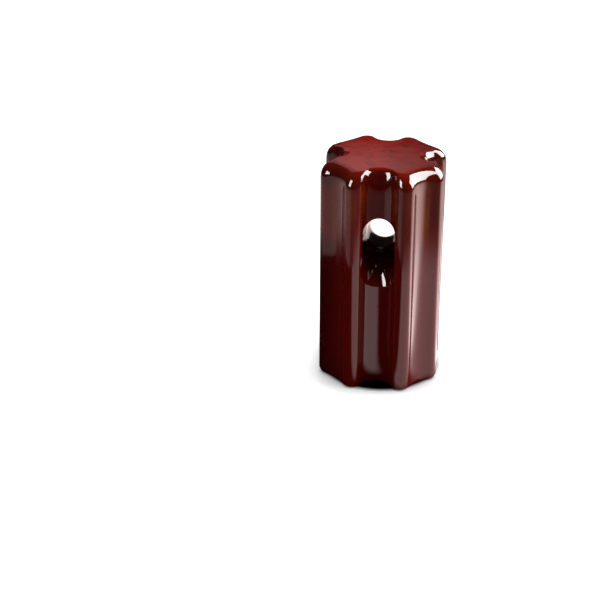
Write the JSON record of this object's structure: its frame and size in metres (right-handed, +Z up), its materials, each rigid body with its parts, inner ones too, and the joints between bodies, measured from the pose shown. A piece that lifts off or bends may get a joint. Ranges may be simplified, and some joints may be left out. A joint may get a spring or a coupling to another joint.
{
  "type": "porcelain strain insulator",
  "caption": "Long fluted porcelain body with rounded lobes and a soft-edged top, crossed by wire eyes with flared saddles that lead into wide wire grooves; insulates and ties guy wires.",
  "frame": {"origin": "middle of the flat base on which the insulator stands", "axes": "+Z runs up the length of the body; the upper wire eye runs along Y and its pictured mouth faces -Y; the lower wire eye runs along X"},
  "size_m": [0.0812, 0.0812, 0.157],
  "materials": {
    "brown_glaze": "thick glossy oxblood brown glaze, thinner and more orange on edges"
  },
  "bodies": {
    "root": {"insulator_body": "brown_glaze"}
  },
  "joints": []
}
